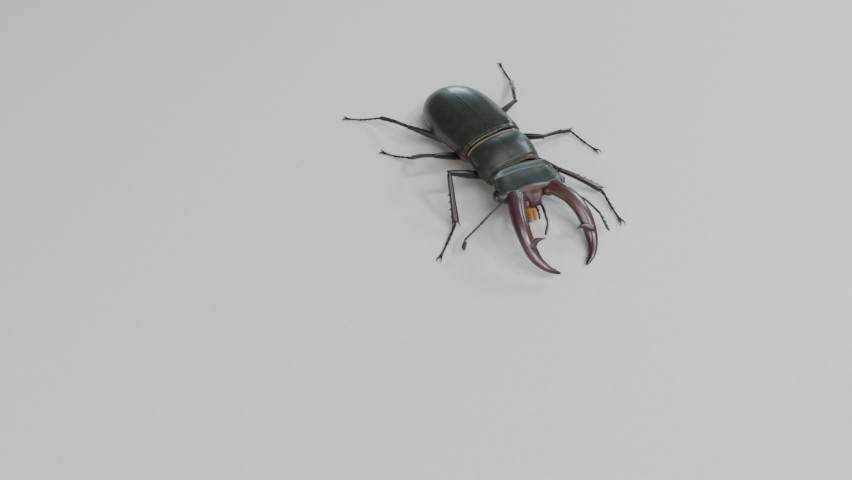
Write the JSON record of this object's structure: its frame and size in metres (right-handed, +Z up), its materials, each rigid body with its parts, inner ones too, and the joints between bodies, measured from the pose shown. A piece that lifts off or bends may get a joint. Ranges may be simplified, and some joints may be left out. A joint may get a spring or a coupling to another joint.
{
  "type": "stag beetle model",
  "caption": "Life-size male stag beetle standing on six feet, head lowered and turned, long curved toothed mandibles held open, elbowed clubbed antennae, smooth closed wing cases.",
  "frame": {"origin": "middle of the footprint's bounding box, at the floor under the feet", "axes": "+Z up, head and mandibles towards -Y, the beetle's left side towards +X"},
  "size_m": [0.0558, 0.0822, 0.0127],
  "materials": {
    "wing_case": "glossy dark olive brown to black shell, finely pitted",
    "shell": "satin grey-green black shell, densely pitted",
    "mandible": "glossy deep maroon shell, darker towards the tips",
    "leg": "glossy black shell",
    "underside": "satin brown-black shell",
    "feeler": "satin dark brown-grey shell",
    "eye": "glossy black, faceted",
    "tongue": "bright orange bristly tuft",
    "hair": "short golden bristles"
  },
  "bodies": {
    "root": {"abdomen": "underside", "antenna_club_left": "feeler", "antenna_club_right": "feeler", "antenna_funicle_left": "feeler", "antenna_funicle_right": "feeler", "antenna_scape_left": "feeler", "antenna_scape_right": "feeler", "coxa_fore_left": "leg", "coxa_fore_right": "leg", "coxa_hind_left": "leg", "coxa_hind_right": "leg", "coxa_mid_left": "leg", "coxa_mid_right": "leg", "elytron_left": "wing_case", "elytron_right": "wing_case", "eye_left": "eye", "eye_right": "eye", "femur_fore_left": "leg", "femur_fore_right": "leg", "femur_hind_left": "leg", "femur_hind_right": "leg", "femur_mid_left": "leg", "femur_mid_right": "leg", "head": "shell", "labial_palp_left": "feeler", "labial_palp_right": "feeler", "mandible_left": "mandible", "mandible_right": "mandible", "maxillary_palp_left": "feeler", "maxillary_palp_right": "feeler", "prothorax": "shell", "pterothorax": "underside", "scutellum": "wing_case", "tarsus_fore_left": "leg", "tarsus_fore_right": "leg", "tarsus_hind_left": "leg", "tarsus_hind_right": "leg", "tarsus_mid_left": "leg", "tarsus_mid_right": "leg", "tibia_fore_left": "leg", "tibia_fore_right": "leg", "tibia_hind_left": "leg", "tibia_hind_right": "leg", "tibia_mid_left": "leg", "tibia_mid_right": "leg", "tongue_left": "tongue", "tongue_right": "tongue", "upper_lip": "mandible"}
  },
  "joints": []
}
